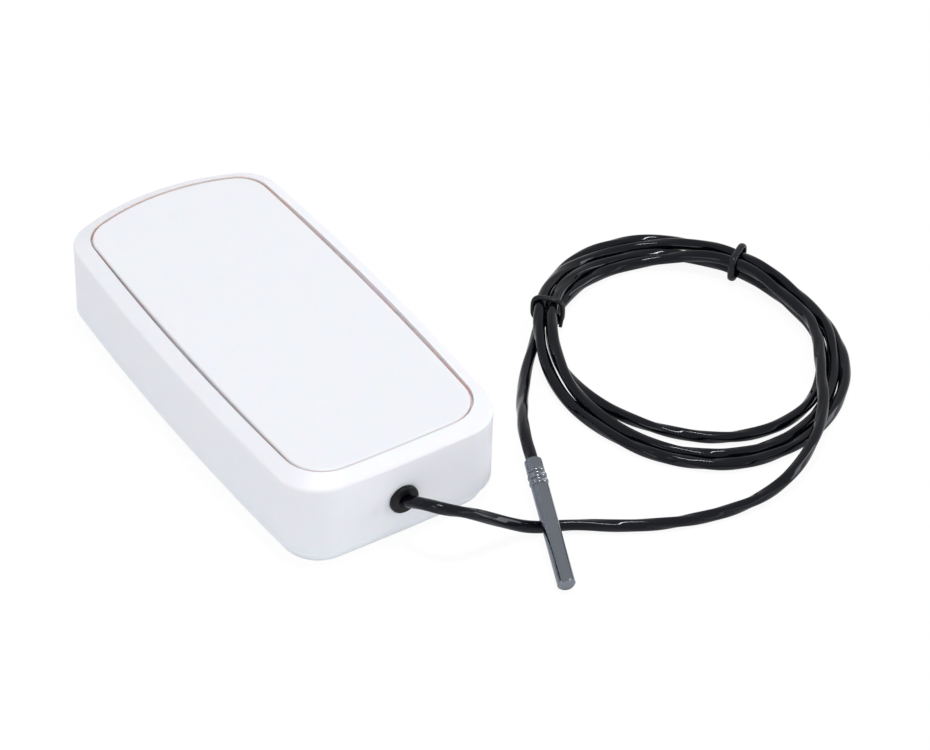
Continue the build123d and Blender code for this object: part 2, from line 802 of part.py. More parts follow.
# Ties: soft bands round the bundle, each with the short tail that its twist leaves
for name, angle in tie_angles.items():
    place, width = tie_frame(angle)
    middle_height = tie_thickness + tie_clearance + layer_height / 2
    hole_width = width + 2 * tie_clearance
    hole_height = layer_height + 2 * tie_clearance
    with BuildPart() as tie:
        with BuildSketch(place):
            with Locations((0, middle_height)):
                band_width = hole_width + 2 * tie_thickness
                band_height = hole_height + 2 * tie_thickness
                RectangleRounded(band_width, band_height, tie_corner + tie_thickness)
                RectangleRounded(hole_width, hole_height, tie_corner + tie_clearance, mode=Mode.SUBTRACT)
        extrude(amount=tie_width / 2, both=True)
    save(tie, name)


# A cord along straight runs joined by tangent arcs, each arc as large as its two runs allow.
def cord_tube(route, name):
    points = [Vector(*point) for point in route]
    runs = [after - before for before, after in zip(points, points[1:])]
    radii = []
    for before, after in zip(runs, runs[1:]):
        half_turn = radians(before.get_angle(after)) / 2
        radii.append(0.45 * min(before.length, after.length) / tan(half_turn))
    with BuildLine() as path:
        FilletPolyline(*points, radius=radii)
    with BuildSketch(Plane(origin=points[0], z_dir=runs[0])) as section:
        Circle(cord_radius)
    tube = sweep(section.sketch, path=path.wire())
    length = path.wire().length
    expected = pi * cord_radius**2 * length
    print(name, "radii", [round(radius, 1) for radius in radii])
    print(name, "length", round(length, 1), "volume ratio", round(tube.volume / expected, 4))


# Lead: out of the grommet, down to the surface, under the probe and round to the coil
lead_route = [
    exit_point,
    (0.3, -70.6, 16.0),
    (3.3, -75.1, 16.1),
    (9.7, -79.0, 14.0),
    (18.4, -79.6, 6.6),
    (27.0, -81.2, cord_radius),
    (36.5, -85.4, cord_radius),
    (47.5, -91.4, cord_radius),
    (60.0, -96.4, cord_radius),
    (73.5, -99.4, cord_radius),
    (85.5, -99.8, 2.4),
    (96.0, -96.8, 4.4),
    (105.5, -90.0, 5.0),
]
with BuildPart() as cord_lead:
    cord_tube(lead_route, "cord_lead")
    add(cord_inner.part, mode=Mode.SUBTRACT)
    add(cord_coil.part, mode=Mode.SUBTRACT)
save(cord_lead, "cord_lead")

# Tail: out from under the coil's left side and up into the probe
tail_route = [
    (74.4, -13.6, cord_radius),
    (68.0, -19.6, cord_radius),
    (61.4, -26.0, cord_radius),
    (53.8, -34.6, cord_radius),
    (45.4, -47.2, 9.4),
    (39.6, -56.6, 9.9),
    on_probe(probe_length - 2),
    on_probe(cord_end),
]
with BuildPart() as cord_tail:
    cord_tube(tail_route, "cord_tail")
    add(cord_coil.part, mode=Mode.SUBTRACT)
save(cord_tail, "cord_tail")
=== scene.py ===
import bmesh
import bpy
from math import atan2, ceil, cos, hypot, pi, radians, sin
from mathutils import Euler, Matrix, Vector


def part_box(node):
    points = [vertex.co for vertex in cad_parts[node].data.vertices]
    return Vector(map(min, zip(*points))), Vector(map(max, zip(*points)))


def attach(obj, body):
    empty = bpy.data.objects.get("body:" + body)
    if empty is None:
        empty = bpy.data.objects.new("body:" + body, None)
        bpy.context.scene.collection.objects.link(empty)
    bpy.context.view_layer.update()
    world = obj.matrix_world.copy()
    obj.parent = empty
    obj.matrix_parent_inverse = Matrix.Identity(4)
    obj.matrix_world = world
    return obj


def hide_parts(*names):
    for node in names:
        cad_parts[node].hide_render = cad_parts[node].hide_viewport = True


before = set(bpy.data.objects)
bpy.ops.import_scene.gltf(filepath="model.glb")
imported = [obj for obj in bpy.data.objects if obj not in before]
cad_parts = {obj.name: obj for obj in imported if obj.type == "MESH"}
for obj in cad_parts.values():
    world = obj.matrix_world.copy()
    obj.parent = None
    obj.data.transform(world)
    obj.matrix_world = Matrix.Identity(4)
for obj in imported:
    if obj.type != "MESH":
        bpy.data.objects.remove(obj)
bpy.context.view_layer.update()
mm = 0.001
scene = bpy.context.scene
scene.view_settings.view_transform = "Standard"

# Camera: a long lens, high on the cable end's left
cameraView = {
    "place": (-0.3533, -0.6042, 0.5948),
    "azimuth": -34.34,
    "elevation": 40.01,
    "roll": 1.83,
    "lens": 136.2,
}
camera = bpy.data.objects.new("Camera", bpy.data.cameras.new("Camera"))
camera.data.lens = cameraView["lens"]
turn = Euler((pi / 2 - radians(cameraView["elevation"]), 0, radians(cameraView["azimuth"]))).to_matrix()
turn = turn @ Matrix.Rotation(radians(cameraView["roll"]), 3, "Z")
camera.matrix_world = Matrix.Translation(cameraView["place"]) @ turn.to_4x4()
scene.collection.objects.link(camera)
scene.camera = camera
print("camera set")


# Hex colour to linear light
def hexColour(code):
    channels = [int(code[place:place + 2], 16) / 255 for place in (0, 2, 4)]
    return [c / 12.92 if c <= 0.04045 else ((c + 0.055) / 1.055) ** 2.4 for c in channels] + [1]


# A node with its settings (sockets or properties by name) and its links (socket: (node, output))
def addNode(tree, kind, settings={}, links={}):
    node = tree.nodes.new(kind)
    for name, value in settings.items():
        if hasattr(node, name):
            setattr(node, name, value)
        else:
            node.inputs[name].default_value = value
    for name, (source, output) in links.items():
        tree.links.new(source.outputs[output], node.inputs[name])
    return node


# A material with its shader, its colour, roughness and metallic, and the coordinates its patterns read
def newMaterial(name, colour, roughness, metallic=0.0):
    material = bpy.data.materials.new(name)
    material.use_nodes = True
    tree = material.node_tree
    shader = tree.nodes["Principled BSDF"]
    shader.inputs["Base Color"].default_value = hexColour(colour)
    shader.inputs["Roughness"].default_value = roughness
    shader.inputs["Metallic"].default_value = metallic
    return material, tree, shader, addNode(tree, "ShaderNodeTexCoord")


# Moulded plastic: a fine spark-eroded grain, and a sheen that drifts a little over a few centimetres
def mouldedPlastic(name, colour, roughness, grain=0.45):
    material, tree, shader, place = newMaterial(name, colour, roughness)
    grains = {"Scale": 1 / (grain * mm), "Detail": 3.0}
    grains = addNode(tree, "ShaderNodeTexNoise", grains, {"Vector": (place, "Object")})
    cloud = {"Scale": 1 / (24 * mm), "Detail": 2.0}
    cloud = addNode(tree, "ShaderNodeTexNoise", cloud, {"Vector": (place, "Object")})
    sheen = {"To Min": roughness - 0.05, "To Max": roughness + 0.05}
    sheen = addNode(tree, "ShaderNodeMapRange", sheen, {"Value": (cloud, "Fac")})
    bump = {"Strength": 0.5, "Distance": 0.012 * mm}
    bump = addNode(tree, "ShaderNodeBump", bump, {"Height": (grains, "Fac")})
    tree.links.new(sheen.outputs["Result"], shader.inputs["Roughness"])
    tree.links.new(bump.outputs["Normal"], shader.inputs["Normal"])
    return material


# Housing plastic: the same, a little translucent. Where ambient occlusion finds a narrow seam, its colour is
# painted a pinkish white as a painted glow, and along the middle of the left side a brown line as painted
# shade
paintedSeamShading = {"width": 1.4, "deep": 0.12, "open": 0.62, "shadedSideFrom": -25, "shadedSideTo": -28.5}


def housingPlasticPaintedSeams(name, colour, paintedSeamGlow, paintedSeamShadeLine, roughness):
    material = mouldedPlastic(name, colour, roughness)
    tree = material.node_tree
    shader = tree.nodes["Principled BSDF"]
    # Painted seam light: ambient occlusion within the seam width picks where the colour turns to the painted
    # glow or painted shade
    shade = addNode(tree, "ShaderNodeAmbientOcclusion", {"Distance": paintedSeamShading["width"] * mm, "samples": 8})
    depth = {"From Min": paintedSeamShading["deep"], "From Max": paintedSeamShading["open"]}
    depth = addNode(tree, "ShaderNodeMapRange", depth, {"Value": (shade, "AO")})
    tint = addNode(tree, "ShaderNodeMix", {"data_type": "RGBA"}, {"Factor": (depth, "Result")})
    place = addNode(tree, "ShaderNodeTexCoord")
    sides = addNode(tree, "ShaderNodeSeparateXYZ", {}, {"Vector": (place, "Object")})
    # Painted shade: towards the left side the seam colour turns from the pink painted glow to the brown
    # painted shade line
    left = {"From Min": paintedSeamShading["shadedSideFrom"] * mm, "From Max": paintedSeamShading["shadedSideTo"] * mm}
    left = addNode(tree, "ShaderNodeMapRange", left, {"Value": (sides, "X")})
    paintedSeamColour = addNode(tree, "ShaderNodeMix", {"data_type": "RGBA"}, {"Factor": (left, "Result")})
    paintedSeamColour.inputs["A"].default_value = hexColour(paintedSeamGlow)
    paintedSeamColour.inputs["B"].default_value = hexColour(paintedSeamShadeLine)
    tree.links.new(paintedSeamColour.outputs["Result"], tint.inputs["A"])
    tint.inputs["B"].default_value = hexColour(colour)
    tree.links.new(tint.outputs["Result"], shader.inputs["Base Color"])
    shader.inputs["Subsurface Weight"].default_value = 0.4
    shader.inputs["Subsurface Radius"].default_value = (1.0, 0.5, 0.35)
    shader.inputs["Subsurface Scale"].default_value = 2.5 * mm
    return material


# Rubber: dull, with a dusty bloom in patches of a few millimetres
def softRubber(name, colour, bloomColour, roughness):
    material, tree, shader, place = newMaterial(name, colour, roughness)
    shader.inputs["Specular IOR Level"].default_value = 0.18
    dust = {"Scale": 1 / (2.5 * mm), "Detail": 5.0}
    dust = addNode(tree, "ShaderNodeTexNoise", dust, {"Vector": (place, "Object")})
    skin = {"Scale": 1 / (0.3 * mm), "Detail": 2.0}
    skin = addNode(tree, "ShaderNodeTexNoise", skin, {"Vector": (place, "Object")})
    tint = addNode(tree, "ShaderNodeMix", {"data_type": "RGBA"}, {"Factor": (dust, "Fac")})
    tint.inputs["A"].default_value = hexColour(colour)
    tint.inputs["B"].default_value = hexColour(bloomColour)
    bump = {"Strength": 0.5, "Distance": 0.02 * mm}
    bump = addNode(tree, "ShaderNodeBump", bump, {"Height": (skin, "Fac")})
    tree.links.new(tint.outputs["Result"], shader.inputs["Base Color"])
    tree.links.new(bump.outputs["Normal"], shader.inputs["Normal"])
    return material


# Plated or drawn metal: fine lines across one axis of the piece, where the tool ran
def drawnMetal(name, colour, roughness, lines=(60, 60, 600), turn=(0, 0, 0)):
    material, tree, shader, place = newMaterial(name, colour, roughness, 1.0)
    grip = {"Rotation": turn, "Scale": lines}
    grip = addNode(tree, "ShaderNodeMapping", grip, {"Vector": (place, "Object")})
    marks = addNode(tree, "ShaderNodeTexNoise", {"Scale": 8.0, "Detail": 4.0}, {"Vector": (grip, "Vector")})
    sheen = {"To Min": roughness - 0.08, "To Max": roughness + 0.08}
    sheen = addNode(tree, "ShaderNodeMapRange", sheen, {"Value": (marks, "Fac")})
    bump = {"Strength": 0.12, "Distance": 0.01 * mm}
    bump = addNode(tree, "ShaderNodeBump", bump, {"Height": (marks, "Fac")})
    tree.links.new(sheen.outputs["Result"], shader.inputs["Roughness"])
    tree.links.new(bump.outputs["Normal"], shader.inputs["Normal"])
    return material


# Printed circuit board: green lacquer, darker where no copper track of about a millimetre runs under it
def boardLacquer(name, colour, trackColour):
    material, tree, shader, place = newMaterial(name, colour, 0.35)
    grid = {"distance": "CHEBYCHEV", "Scale": 1 / (3 * mm), "Randomness": 0.35}
    grid = addNode(tree, "ShaderNodeTexVoronoi", grid, {"Vector": (place, "Object")})
    track = {"From Min": 0.3, "From Max": 0.36}
    track = addNode(tree, "ShaderNodeMapRange", track, {"Value": (grid, "Distance")})
    tint = addNode(tree, "ShaderNodeMix", {"data_type": "RGBA"}, {"Factor": (track, "Result")})
    tint.inputs["A"].default_value = hexColour(trackColour)
    tint.inputs["B"].default_value = hexColour(colour)
    bump = {"Strength": 0.4, "Distance": 0.04 * mm}
    bump = addNode(tree, "ShaderNodeBump", bump, {"Height": (track, "Result")})
    tree.links.new(tint.outputs["Result"], shader.inputs["Base Color"])
    tree.links.new(bump.outputs["Normal"], shader.inputs["Normal"])
    return material


# Cord jacket: glossy black plastic with faint creases along it, drawn tight over two twisted cores
def cordJacket():
    material, tree, shader, place = newMaterial("cordJacket", "07080d", 0.1)
    shader.inputs["Specular Tint"].default_value = hexColour("e4e6f2")
    shader.inputs["Specular IOR Level"].default_value = 0.3
    stretch = addNode(tree, "ShaderNodeMapping", {"Scale": (5, 140, 1)}, {"Vector": (place, "UV")})
    creases = {"Scale": 1.0, "Detail": 3.0}
    creases = addNode(tree, "ShaderNodeTexNoise", creases, {"Vector": (stretch, "Vector")})
    sheen = {"To Min": 0.06, "To Max": 0.13}
    sheen = addNode(tree, "ShaderNodeMapRange", sheen, {"Value": (creases, "Fac")})
    bump = {"Strength": 0.3, "Distance": 0.06 * mm}
    bump = addNode(tree, "ShaderNodeBump", bump, {"Height": (creases, "Fac")})
    tree.links.new(sheen.outputs["Result"], shader.inputs["Roughness"])
    tree.links.new(bump.outputs["Normal"], shader.inputs["Normal"])
    return material


# A carried-over piece takes its finish
def finishNode(material, *names):
    for name in names:
        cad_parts[name].data.materials.clear()
        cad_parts[name].data.materials.append(material)


# The second and third colours are the seams' painted pink glow and painted brown shade line
finishNode(housingPlasticPaintedSeams("shellPlastic", "e7e8ee", "f6e2dc", "8f7b76", 0.4), "housing_shell")
finishNode(housingPlasticPaintedSeams("panelPlastic", "e6e7ec", "f6e2dc", "a08a84", 0.36), "top_panel")
finishNode(mouldedPlastic("basePlastic", "edf0f5", 0.42), "base_plate")
finishNode(softRubber("foamTape", "c9c2bd", "d8d3cf", 0.8), "panel_tape")
finishNode(softRubber("sealSilicone", "8f949b", "9da2a8", 0.6), "sealing_gasket")
finishNode(drawnMetal("screwZinc", "a9adb3", 0.3), "housing_screws", "board_screws", "terminal_screws")
finishNode(drawnMetal("springNickel", "c9c6be", 0.22), "contact_leaves", "contact_plates", "spring_antenna")
finishNode(drawnMetal("shieldTin", "b9bcc0", 0.3, (300, 60, 60)), "radio_shield")
finishNode(boardLacquer("boardLacquer", "17502f", "22683f"), "circuit_board")
finishNode(boardLacquer("moduleLacquer", "1b2c58", "264078"), "radio_module")
finishNode(mouldedPlastic("holderNylon", "1d1e20", 0.5), "battery_holder")
finishNode(mouldedPlastic("cellSleeve", "2f6f4a", 0.3, 2.0), "battery_cell_left", "battery_cell_right")
finishNode(mouldedPlastic("chipEpoxy", "222326", 0.55, 0.2), "board_chips")
finishNode(mouldedPlastic("capacitorSleeve", "1d2540", 0.3, 1.0), "buffer_capacitor")
finishNode(mouldedPlastic("switchNylon", "2a2b2e", 0.5), "setup_switch")
finishNode(mouldedPlastic("lampEpoxy", "b3342c", 0.15, 3.0), "status_lamp")
finishNode(mouldedPlastic("terminalNylon", "2f7d57", 0.45), "terminal_block")
finishNode(mouldedPlastic("stopNylon", "e2e0da", 0.4), "pull_stop")
finishNode(mouldedPlastic("wireInsulation", "b8322c", 0.35, 1.0), "terminal_wires", "probe_wires")
finishNode(mouldedPlastic("beadEpoxy", "1c1a18", 0.3, 0.6), "sensing_bead")
finishNode(mouldedPlastic("pottingResin", "3a342c", 0.35, 1.5), "probe_potting")
print("carried-over pieces finished")

# Cord: its section, and the route of the lead and of its end at the probe, in millimetres
cord = {
    "diameter": 3.2,
    "core": 0.96,
    "ridge": 0.06,
    "flat": 0.038,
    "twistPitch": 27.0,
    "twistDrift": 1.1,
    "driftLength": 83.0,
    "sides": 32,
    "resolution": 16,
    "step": 0.7,
}
leadRoute = [
    (-1.5, -65.25, 13.6),
    (0.3, -70.6, 16.0),
    (3.3, -75.1, 16.1),
    (9.9, -77.6, 13.6),
    (18.6, -77.8, 6.9),
    (27.3, -79.4, 1.6),
    (37.1, -83.5, 1.6),
    (47.4, -90.9, 1.6),
    (59.5, -96.7, 1.6),
    (73.0, -100.1, 1.6),
    (85.0, -100.7, 2.4),
    (96.1, -98.1, 4.4),
    (106.8, -91.4, 5.0),
    (116.2, -82.5, 5.2),
    (123.2, -72.0, 5.2),
]
tailRoute = [
    (74.4, -13.6, 3.8),
    (68.0, -19.6, 1.8),
    (61.4, -26.0, 1.6),
    (55.3, -33.3, 2.3),
    (50.2, -40.1, 4.6),
    (45.2, -47.6, 7.8),
    (40.2, -55.7, 9.3),
]

# Coil: where each of its four lanes lies outside the innermost strand, and how high, at each station
coil = {
    "centre": (102.4, -42.0),
    "radius": 36.3,
    "stretch": 2.4,
    "stretchAngle": 80.0,
    "step": 22.5,
    "end": 3 * 360 + 112.5,
    "gap": 3.26,
    "settlings": 200,
    "tieAngles": {"tie_left": 131, "tie_right": 33},
    "tieRise": 1.9,
    "tieReach": 26,
    "out": {
        -22.5: (0.8, 1.7, 4.0, 5.8),
        0: (-1.5, 0.2, 2.4, 3.9),
        22.5: (-2.0, -1.4, 1.2, 2.6),
        45: (-1.9, -1.0, 2.3, 4.0),
        67.5: (-0.9, 2.8, 6.3, 9.7),
        90: (0.1, 3.5, 6.7, 9.8),
        112.5: (0.8, 2.8, 5.8, 7.0),
        135: (2.3, 2.4, 5.7, 5.8),
        157.5: (2.3, 2.4, 6.1, 8.2),
        180: (0.9, 3.8, 6.6),
        202.5: (-0.8, 3.8, 7.1),
        225: (-1.6, 5.6, 9.1),
        247.5: (-0.5, 6.4, 10.3),
        270: (0.3, 5.8, 8.9),
        292.5: (1.2, 4.8, 6.9),
        315: (1.1, 4.0, 6.2),
    },
    "rise": {
        -22.5: (3.3, 0.0, 2.6, 0.0),
        0: (3.0, 0.0, 2.4, 0.0),
        22.5: (3.0, 0.0, 3.1, 0.2),
        45: (2.8, 0.0, 2.8, 0.0),
        67.5: (0.4, 0.0, 0.4, 0.0),
        112.5: (0.0, 2.3, 2.3, 0.0),
        135: (0.0, 3.1, 3.3, 0.0),
        157.5: (0.0, 2.9, 1.9, 0.0),
        180: (0.0, 1.8, 0.0),
    },
}


# Strands that would lie in each other are pushed apart until they touch, and none sinks below the surface
def settledStrands(station):
    outs = coil["out"][station]
    rises = coil["rise"].get(station, (0.0,) * len(outs))
    strands = [list(pair) for pair in zip(outs, rises)]
    for _ in range(coil["settlings"]):
        for first in range(len(strands)):
            for second in range(first + 1, len(strands)):
                across = strands[second][0] - strands[first][0]
                up = strands[second][1] - strands[first][1]
                apart = hypot(across, up)
                push = max(coil["gap"] - apart, 0) / 2 / max(apart, 0.01)
                strands[first][0] -= across * push
                strands[second][0] += across * push
                strands[first][1] -= up * push
                strands[second][1] += up * push
        for strand in strands:
            strand[1] = max(strand[1], 0)
    return strands


# The strands rise where a tie passes under them
def liftAtTies(angle):
    nearest = min(abs((angle - place + 180) % 360 - 180) for place in coil["tieAngles"].values())
    return coil["tieRise"] * max(1 - (nearest / coil["tieReach"]) ** 2, 0)


# Points of the coil's turns, lane after lane from the inside out
def coilTurns():
    points = []
    angle = -coil["step"]
    while angle <= coil["end"]:
        lane = int((angle + coil["step"]) // 360)
        station = (angle + coil["step"]) % 360 - coil["step"]
        out, rise = settledStrands(station)[lane]
        reach = coil["radius"] + coil["stretch"] * cos(radians(2 * (angle - coil["stretchAngle"]))) + out
        x = coil["centre"][0] + reach * cos(radians(angle))
        y = coil["centre"][1] + reach * sin(radians(angle))
        points.append((x, y, cord["diameter"] / 2 + rise + liftAtTies(station)))
        angle += coil["step"]
    return points


# Probe: its closed end on the surface, its shaft over the lead
probe = {
    "tip": (22.3, -101.5),
    "heading": 68.5,
    "rise": 3.3,
    "crossing": 20.6,
    "radius": 2.3,
    "cordEnds": (37.6, 30.1),
}
probeTilt = atan2(probe["rise"], probe["crossing"])
probeHeading = radians(probe["heading"])
probeAxis = Vector((cos(probeHeading) * cos(probeTilt), sin(probeHeading) * cos(probeTilt), sin(probeTilt)))
probeOrigin = Vector((*probe["tip"], probe["radius"] / cos(probeTilt)))
tailRoute += [tuple(probeOrigin + probeAxis * place) for place in probe["cordEnds"]]


# Points of the smooth line that the route's NURBS spline draws, with nothing swept along it
def splineLine(name, route):
    curve = bpy.data.curves.new(name, "CURVE")
    curve.dimensions = "3D"
    curve.resolution_u = cord["resolution"]
    spline = curve.splines.new("NURBS")
    spline.points.add(len(route) - 1)
    for point, place in zip(spline.points, route):
        point.co = (*[value * mm for value in place], 1)
    spline.order_u = 3
    spline.use_endpoint_u = True
    holder = bpy.data.objects.new(name, curve)
    mesh = bpy.data.meshes.new_from_object(holder)
    line = [vertex.co.copy() for vertex in mesh.vertices]
    bpy.data.objects.remove(holder)
    bpy.data.curves.remove(curve)
    bpy.data.meshes.remove(mesh)
    return line


# The same line with its points an even step apart
def evenLine(line, step):
    reaches = [0.0]
    for before, after in zip(line, line[1:]):
        reaches.append(reaches[-1] + (after - before).length)
    count = ceil(reaches[-1] / step)
    points = []
    place = 0
    for number in range(count + 1):
        reach = reaches[-1] * number / count
        while place < len(line) - 2 and reaches[place + 1] < reach:
            place += 1
        share = (reach - reaches[place]) / (reaches[place + 1] - reaches[place])
        points.append(line[place].lerp(line[place + 1], share))
    return points, reaches[-1]


# A finished piece: its mesh in a new object at the origin, with its material, riding on the body
def finishPiece(name, shape, material):
    mesh = bpy.data.meshes.new(name)
    shape.to_mesh(mesh)
    shape.free()
    mesh.materials.append(material)
    for face in mesh.polygons:
        face.use_smooth = True
    piece = bpy.data.objects.new(name, mesh)
    scene.collection.objects.link(piece)
    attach(piece, "root")
    return piece


# A ring of the jacket's section, flat between the cores, is swept along the line and turns with their twist.
# Its UV map runs round the cord once and along it in metres
def sweptCord(name, line, material):
    radius = cord["diameter"] / 2 * mm
    shape = bmesh.new()
    wrap = shape.loops.layers.uv.new("cordWrap")
    side = Vector((0, 0, 1)).cross(line[1] - line[0]).normalized()
    previous = None
    reach = 0.0
    for number, centre in enumerate(line):
        ahead = (line[min(number + 1, len(line) - 1)] - line[max(number - 1, 0)]).normalized()
        side = (side - ahead * side.dot(ahead)).normalized()
        across = ahead.cross(side)
        last = reach
        reach += (centre - line[max(number - 1, 0)]).length
        drift = cord["twistDrift"] * sin(2 * pi * reach / (cord["driftLength"] * mm))
        twist = 2 * pi * reach / (cord["twistPitch"] * mm) + drift
        ring = bmesh.ops.create_circle(shape, segments=cord["sides"], radius=radius)["verts"]
        for vertex in ring:
            angle = atan2(vertex.co.y, vertex.co.x)
            lobes = cord["ridge"] * cos(2 * angle - twist) - cord["flat"] * cos(4 * angle - 2 * twist)
            size = radius * (cord["core"] + lobes)
            vertex.co = centre + (side * cos(angle) + across * sin(angle)) * size
        if previous:
            for here in range(len(ring)):
                there = (here + 1) % len(ring)
                face = shape.faces.new((previous[here], previous[there], ring[there], ring[here]))
                corners = ((here, last), (here + 1, last), (here + 1, reach), (here, reach))
                for loop, (turn, distance) in zip(face.loops, corners):
                    loop[wrap].uv = (turn / len(ring), distance)
        else:
            firstRing = ring
        previous = ring
    shape.faces.new(list(reversed(firstRing)))
    shape.faces.new(previous)
    bmesh.ops.recalc_face_normals(shape, faces=shape.faces)
    return finishPiece(name, shape, material)


jacket = cordJacket()
line, cordLength = evenLine(splineLine("cordRoute", leadRoute + coilTurns() + tailRoute), cord["step"] * mm)
print("cord length", round(cordLength, 4), "points", len(line))
cordPiece = sweptCord("sensor_cord", line, jacket)
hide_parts("cord_lead", "cord_coil", "cord_tail")
finishNode(jacket, "cord_inner")
print("cord made")

# Ties: soft rubber loops, wider than thick, drawn tight round the strands, each with the stub of its twist
tie = {
    "clearance": 0.03,
    "squareness": 0.5,
    "sides": 14,
    "steps": 64,
    "stubRadius": 0.6,
    "stubTaper": 0.8,
    "stubRounding": 0.25,
}
ties = {
    "tie_left": {"radius": 0.64, "spread": 1.2, "stub": 4.0, "lean": 0.6},
    "tie_right": {"radius": 0.55, "spread": 1.75, "stub": 2.4, "lean": -0.3},
}
tieRubber = softRubber("tieRubber", "191a1e", "222328", 0.26)


# Where the strands cross the upright plane at an angle about the coil's centre
def bundleAt(angle):
    outward = Vector((cos(radians(angle)), sin(radians(angle)), 0))
    along = Vector((-outward.y, outward.x, 0))
    centre = Vector((*coil["centre"], 0)) * mm
    reaches = []
    heights = []
    for before, after in zip(line, line[1:]):
        crosses = (before - centre).dot(along) * (after - centre).dot(along) <= 0
        if crosses and (before - centre).dot(outward) > 0:
            reaches.append((before - centre).dot(outward))
            heights.append(before.z)
    crossings = [(round(reach / mm, 1), round(height / mm, 1)) for reach, height in zip(reaches, heights)]
    print("tie at", angle, crossings)
    middle = centre + outward * (max(reaches) + min(reaches)) / 2
    middle.z = (max(heights) + min(heights)) / 2
    slack = (cord["diameter"] / 2 + tie["clearance"]) * mm
    halfWidth = (max(reaches) - min(reaches)) / 2 + slack
    halfHeight = (max(heights) - min(heights)) / 2 + slack
    return middle, outward, along, halfWidth, halfHeight


# A round section is spun to a ring, drawn out to the bundle's rounded square and spread along the strands
def tieLoop(name, thick, spread, stubLength, stubLean):
    middle, outward, along, halfWidth, halfHeight = bundleAt(coil["tieAngles"][name])
    shape = bmesh.new()
    place = Matrix.Translation((1, 0, 0)) @ Matrix.Rotation(pi / 2, 4, "X")
    bmesh.ops.create_circle(shape, segments=tie["sides"], radius=thick * mm, matrix=place)
    spun = {"cent": (0, 0, 0), "axis": (0, 0, 1), "angle": 2 * pi, "steps": tie["steps"]}
    bmesh.ops.spin(shape, geom=shape.verts[:] + shape.edges[:], use_merge=True, **spun)
    for vertex in shape.verts:
        turn = atan2(vertex.co.y, vertex.co.x)
        proud = hypot(vertex.co.x, vertex.co.y) - 1 + thick * mm
        wide = abs(cos(turn)) ** tie["squareness"] * (1 if cos(turn) > 0 else -1)
        high = abs(sin(turn)) ** tie["squareness"] * (1 if sin(turn) > 0 else -1)
        facing = Vector((cos(turn), sin(turn)))
        across = wide * halfWidth + facing.x * proud
        up = high * halfHeight + facing.y * proud
        vertex.co = middle + outward * across + Vector((0, 0, up)) + along * vertex.co.z * spread
    lean = (along * stubLean - Vector((0, 0, 1))).normalized()
    start = middle - outward * (halfWidth + thick * mm)
    stub = Matrix.Translation(start + lean * stubLength / 2 * mm)
    stub = stub @ lean.to_track_quat("Z", "Y").to_matrix().to_4x4()
    thin = tie["stubRadius"] * tie["stubTaper"]
    ends = {"radius1": tie["stubRadius"] * mm, "radius2": thin * mm, "depth": stubLength * mm}
    bmesh.ops.create_cone(shape, cap_ends=True, segments=tie["sides"], matrix=stub, **ends)
    rims = [edge for edge in shape.edges if max(len(face.verts) for face in edge.link_faces) > 4]
    rounding = {"offset": tie["stubRounding"] * mm, "segments": 3, "profile": 0.5}
    bmesh.ops.bevel(shape, geom=rims, affect="EDGES", material=-1, **rounding)
    bmesh.ops.recalc_face_normals(shape, faces=shape.faces)
    print("tie", name, "lowest", round(min(vertex.co.z for vertex in shape.verts) / mm, 2))
    piece = finishPiece(name + "_loop", shape, tieRubber)
    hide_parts(name)
    return piece


tiePieces = [tieLoop(name, *values.values()) for name, values in ties.items()]
print("ties made")

# Grommet: its section is spun round the cord's hole, with soft edges on the flange that shows
grommet = {
    "side": -1.5,
    "height": 13.6,
    "flange": 4.0,
    "flangeDepth": 1.2,
    "neck": 2.8,
    "innerFlange": 3.9,
    "innerDepth": 1.4,
    "bore": 1.64,
    "softness": 0.55,
    "steps": 72,
}


def grommetPiece():
    face, inner = (corner[1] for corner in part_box("cable_grommet"))
    sections = [
        (grommet["bore"], face),
        (grommet["flange"], face),
        (grommet["flange"], face + grommet["flangeDepth"] * mm),
        (grommet["neck"], face + grommet["flangeDepth"] * mm),
        (grommet["neck"], inner - grommet["innerDepth"] * mm),
        (grommet["innerFlange"], inner - grommet["innerDepth"] * mm),
        (grommet["innerFlange"], inner),
        (grommet["bore"], inner),
    ]
    shape = bmesh.new()
    corners = [shape.verts.new((radius * mm, depth, 0)) for radius, depth in sections]
    edges = [shape.edges.new((corner, corners[number - 1])) for number, corner in enumerate(corners)]
    spun = {"cent": (0, 0, 0), "axis": (0, 1, 0), "angle": 2 * pi, "steps": grommet["steps"]}
    bmesh.ops.spin(shape, geom=corners + edges, use_merge=True, **spun)
    soft = []
    for edge in shape.edges:
        reaches = [hypot(vertex.co.x, vertex.co.z) for vertex in edge.verts]
        onFace = all(abs(vertex.co.y - face) < 0.1 * mm for vertex in edge.verts)
        if onFace and abs(reaches[0] - reaches[1]) < 0.01 * mm:
            soft.append(edge)
    rounding = {"offset": grommet["softness"] * mm, "segments": 5, "profile": 0.5}
    bmesh.ops.bevel(shape, geom=soft, affect="EDGES", material=-1, **rounding)
    bmesh.ops.translate(shape, verts=shape.verts, vec=(grommet["side"] * mm, 0, grommet["height"] * mm))
    bmesh.ops.recalc_face_normals(shape, faces=shape.faces)
    piece = finishPiece("cord_grommet", shape, softRubber("grommetRubber", "0e0f12", "131417", 0.42))
    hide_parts("cable_grommet")
    return piece


grommetRing = grommetPiece()
print("grommet made")

# Probe sheath: dull drawn steel, its lines along the tube
steelTurn = (0, pi / 2 - probeTilt, -probeHeading)
finishNode(drawnMetal("probeSteel", "7c8189", 0.16, (700, 700, 25), steelTurn), "probe_sheath")

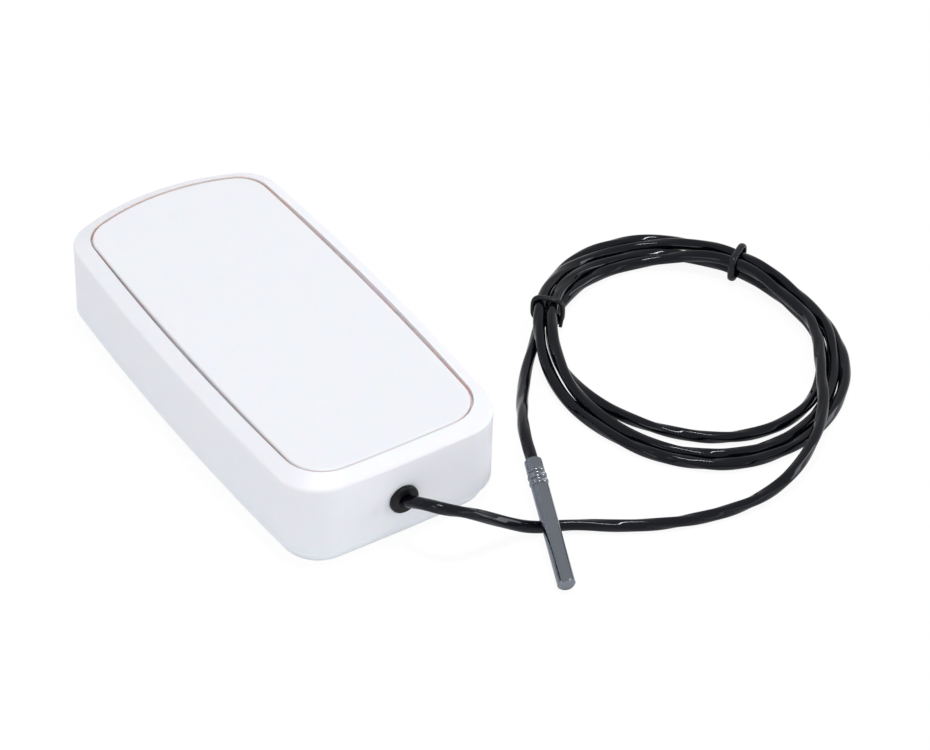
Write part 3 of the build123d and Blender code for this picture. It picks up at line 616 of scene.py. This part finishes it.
# Floor and world: white to the camera, and a little brighter in reflections than to the light that bounces
light = {
    "floorDrop": 0.1,
    "floorReach": 3,
    "floorGlow": 0.9,
    "floorShine": 0.35,
    "floorLevel": 1.02,
    "worldLevel": 0.665,
    "worldShine": 0.1,
    "target": (0.02, -0.02, 0.02),
    "lamps": {
        "glintStrip": ((0.05, -0.05, 0.95), (0.26, 0.055), 3.4),
        "leftStrip": ((-0.85, -0.35, 0.3), (0.25, 0.6), 1.0),
        "frontFill": ((0.45, -0.95, 0.35), (0.6, 0.4), 0.8),
        "rightFill": ((0.9, -0.5, 0.2), (0.5, 0.4), 2.6),
    },
}
floorMesh = bmesh.new()
floorPlace = Matrix.Translation((0, 0, -light["floorDrop"] * mm))
bmesh.ops.create_grid(floorMesh, x_segments=1, y_segments=1, size=light["floorReach"], matrix=floorPlace)
floorData = bpy.data.meshes.new("floor")
floorMesh.to_mesh(floorData)
floorMesh.free()
floor = bpy.data.objects.new("floor", floorData)
scene.collection.objects.link(floor)


# A share for rays from the camera, another for rays from shiny or clear surfaces, and none for the rest
def seenRay(tree, cameraShare, shineShare):
    rays = addNode(tree, "ShaderNodeLightPath")
    shiny = addNode(tree, "ShaderNodeMath", {"operation": "MAXIMUM"})
    tree.links.new(rays.outputs["Is Glossy Ray"], shiny.inputs[0])
    tree.links.new(rays.outputs["Is Transmission Ray"], shiny.inputs[1])
    shine = addNode(tree, "ShaderNodeMapRange", {"To Max": shineShare}, {"Value": (shiny, 0)})
    view = addNode(tree, "ShaderNodeMapRange", {"To Max": cameraShare}, {"Value": (rays, "Is Camera Ray")})
    seen = addNode(tree, "ShaderNodeMath", {"operation": "MAXIMUM"})
    tree.links.new(view.outputs["Result"], seen.inputs[0])
    tree.links.new(shine.outputs["Result"], seen.inputs[1])
    return seen


floorMaterial = bpy.data.materials.new("paleFloor")
floorMaterial.use_nodes = True
tree = floorMaterial.node_tree
tree.nodes.clear()
share = seenRay(tree, light["floorGlow"], light["floorShine"])
matt = addNode(tree, "ShaderNodeBsdfDiffuse", {"Color": hexColour("f2f3f5")})
glow = addNode(tree, "ShaderNodeEmission", {"Color": (1, 1, 1, 1), "Strength": light["floorLevel"]})
mixed = addNode(tree, "ShaderNodeMixShader", {}, {"Fac": (share, 0)})
tree.links.new(matt.outputs[0], mixed.inputs[1])
tree.links.new(glow.outputs[0], mixed.inputs[2])
addNode(tree, "ShaderNodeOutputMaterial", {}, {"Surface": (mixed, 0)})
floor.data.materials.append(floorMaterial)

world = bpy.data.worlds.new("studio")
world.use_nodes = True
scene.world = world
tree = world.node_tree
background = tree.nodes["Background"]
level = {"To Min": light["worldLevel"]}
level = addNode(tree, "ShaderNodeMapRange", level, {"Value": (seenRay(tree, 1, light["worldShine"]), 0)})
tree.links.new(level.outputs["Result"], background.inputs["Strength"])
background.inputs["Color"].default_value = (1, 1, 1, 1)


# Soft lamps, each with its place and size in metres and its energy in watts: a strip overhead that draws the
# streaks on the cord, and three low ones that lift the walls
for name, (place, size, energy) in light["lamps"].items():
    lamp = bpy.data.objects.new(name, bpy.data.lights.new(name, "AREA"))
    lamp.data.shape = "RECTANGLE"
    lamp.data.size, lamp.data.size_y = size
    lamp.data.energy = energy
    lamp.location = place
    aim = Vector(light["target"]) - Vector(place)
    lamp.rotation_euler = aim.to_track_quat("-Z", "Y").to_euler()
    scene.collection.objects.link(lamp)
bpy.data.objects["glintStrip"].rotation_euler = (0, 0, radians(cameraView["azimuth"]))
print("stage set")
